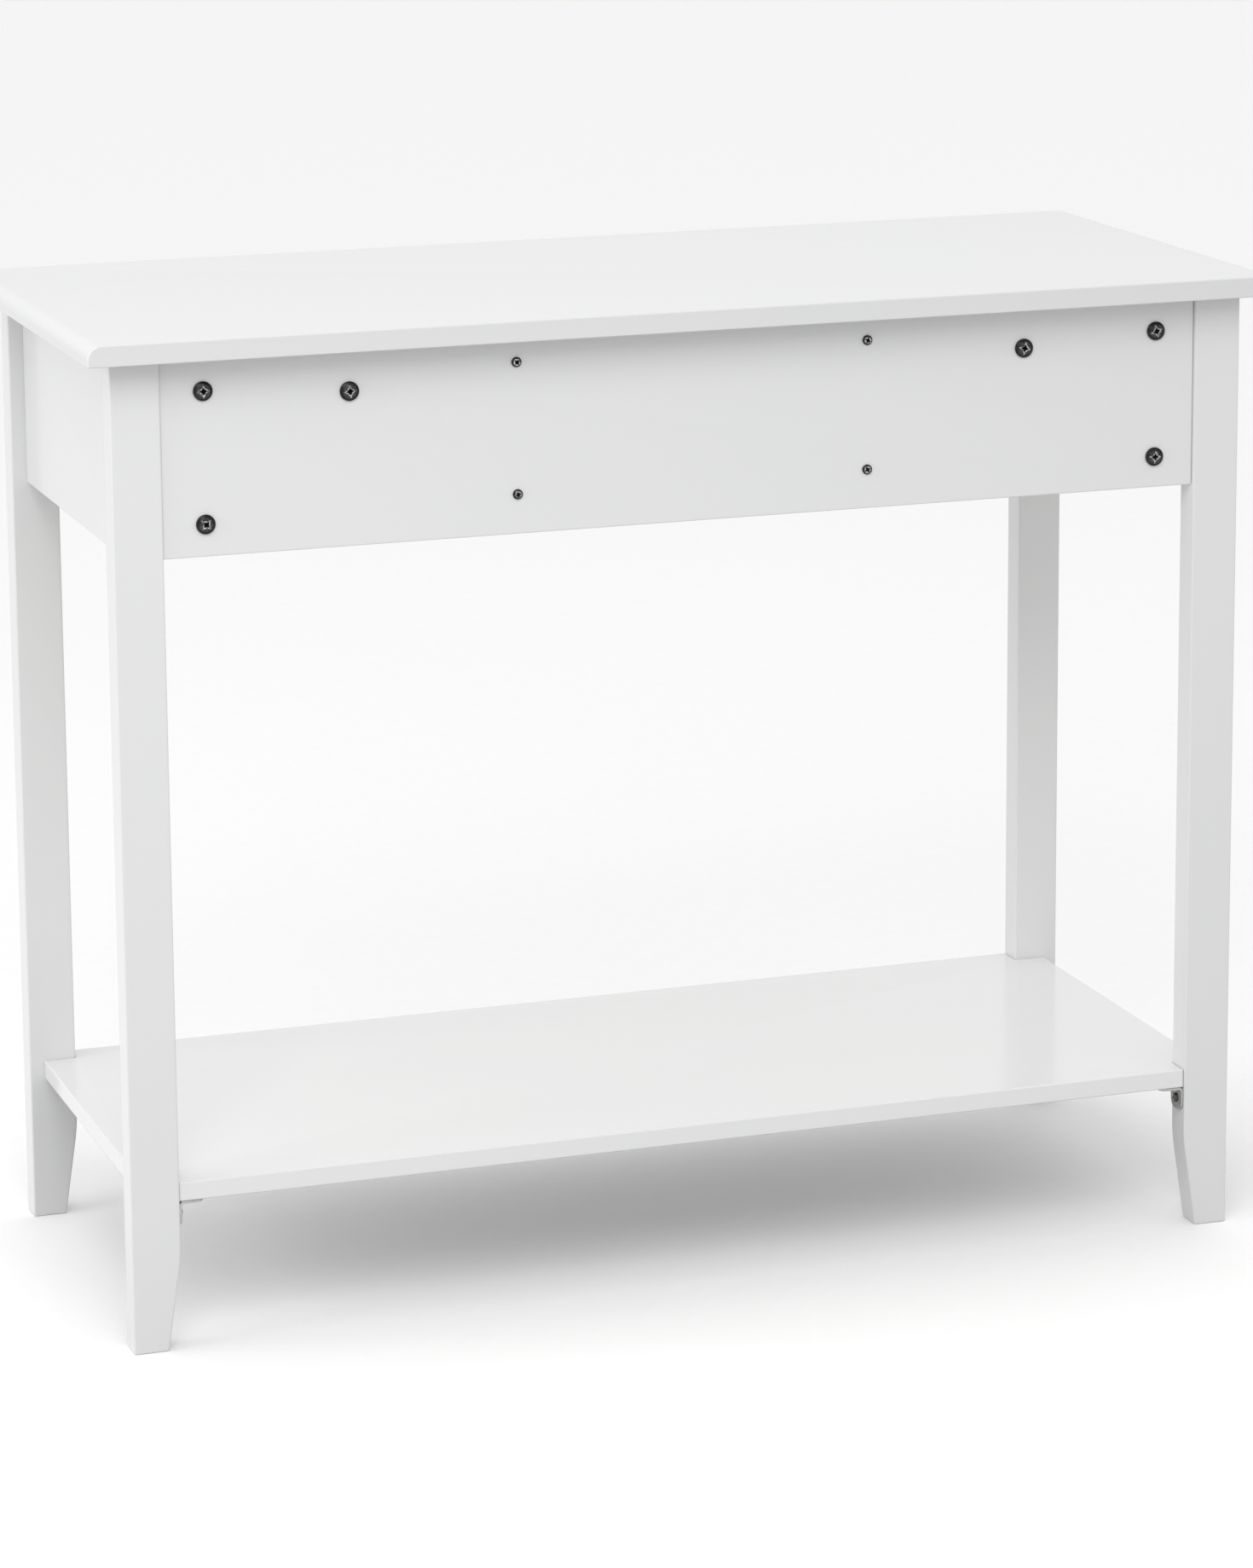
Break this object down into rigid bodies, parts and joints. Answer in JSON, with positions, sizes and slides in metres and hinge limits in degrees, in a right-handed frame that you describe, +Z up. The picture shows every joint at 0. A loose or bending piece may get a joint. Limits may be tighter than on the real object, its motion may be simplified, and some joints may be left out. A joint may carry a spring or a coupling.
{
  "type": "console table",
  "caption": "White lacquered console table with an overhanging slab top, drawers in the apron, tapered square legs and a low notched shelf.",
  "frame": {"origin": "on the floor, under the middle of the tabletop", "axes": "+X along the table to the right of someone facing the drawers, +Y from the drawers to the back panel, +Z up"},
  "size_m": [0.955, 0.42, 0.78],
  "materials": {
    "white_lacquer": "semi-gloss white lacquer",
    "drawer_wood": "clear matt varnish",
    "drawer_floor": "white-faced hardboard",
    "pine": "planed softwood",
    "beech": "fluted dowel",
    "nickel": "satin nickel plate",
    "black_steel": "black oxide",
    "zinc_steel": "zinc plate",
    "clip_plastic": "moulded"
  },
  "bodies": {
    "frame": {"back_bolts": "black_steel", "back_panel": "white_lacquer", "back_screws": "black_steel", "bracket_screws": "zinc_steel", "closing_stops": "pine", "corner_block_left": "pine", "corner_block_right": "pine", "corner_block_screws": "zinc_steel", "frame_dowels": "beech", "front_bottom_rail": "white_lacquer", "front_top_rail": "white_lacquer", "left_lane_runner_inner": "pine", "left_lane_runner_outer": "pine", "leg_front_left": "white_lacquer", "leg_front_right": "white_lacquer", "leg_rear_left": "white_lacquer", "leg_rear_right": "white_lacquer", "middle_lane_runner_left": "pine", "middle_lane_runner_right": "pine", "partition_dowels": "beech", "partition_left": "white_lacquer", "partition_right": "white_lacquer", "right_lane_runner_inner": "pine", "right_lane_runner_outer": "pine", "shelf": "white_lacquer", "shelf_bracket_front_left": "nickel", "shelf_bracket_front_right": "nickel", "shelf_bracket_rear_left": "nickel", "shelf_bracket_rear_right": "nickel", "side_panel_left": "white_lacquer", "side_panel_right": "white_lacquer", "tabletop": "white_lacquer", "top_block_left": "pine", "top_block_right": "pine", "top_block_screws": "zinc_steel", "top_rail_screws": "zinc_steel"},
    "left_drawer": {"left_drawer_back": "drawer_wood", "left_drawer_bottom": "drawer_floor", "left_drawer_front": "white_lacquer", "left_drawer_knob": "nickel", "left_drawer_knob_screw": "zinc_steel", "left_drawer_side_left": "drawer_wood", "left_drawer_side_right": "drawer_wood", "left_drawer_stop_clip": "clip_plastic"},
    "middle_drawer": {"middle_drawer_back": "drawer_wood", "middle_drawer_bottom": "drawer_floor", "middle_drawer_front": "white_lacquer", "middle_drawer_knob": "nickel", "middle_drawer_knob_screw": "zinc_steel", "middle_drawer_side_left": "drawer_wood", "middle_drawer_side_right": "drawer_wood", "middle_drawer_stop_clip": "clip_plastic"},
    "right_drawer": {"right_drawer_back": "drawer_wood", "right_drawer_bottom": "drawer_floor", "right_drawer_front": "white_lacquer", "right_drawer_knob": "nickel", "right_drawer_knob_screw": "zinc_steel", "right_drawer_side_left": "drawer_wood", "right_drawer_side_right": "drawer_wood", "right_drawer_stop_clip": "clip_plastic"}
  },
  "joints": [
    {"name": "left_slide", "type": "slide", "parent": "frame", "child": "left_drawer", "axis": [0, -1, 0], "range_m": [0, 0.2492]},
    {"name": "middle_slide", "type": "slide", "parent": "frame", "child": "middle_drawer", "axis": [0, -1, 0], "range_m": [0, 0.2492]},
    {"name": "right_slide", "type": "slide", "parent": "frame", "child": "right_drawer", "axis": [0, -1, 0], "range_m": [0, 0.2492]}
  ]
}
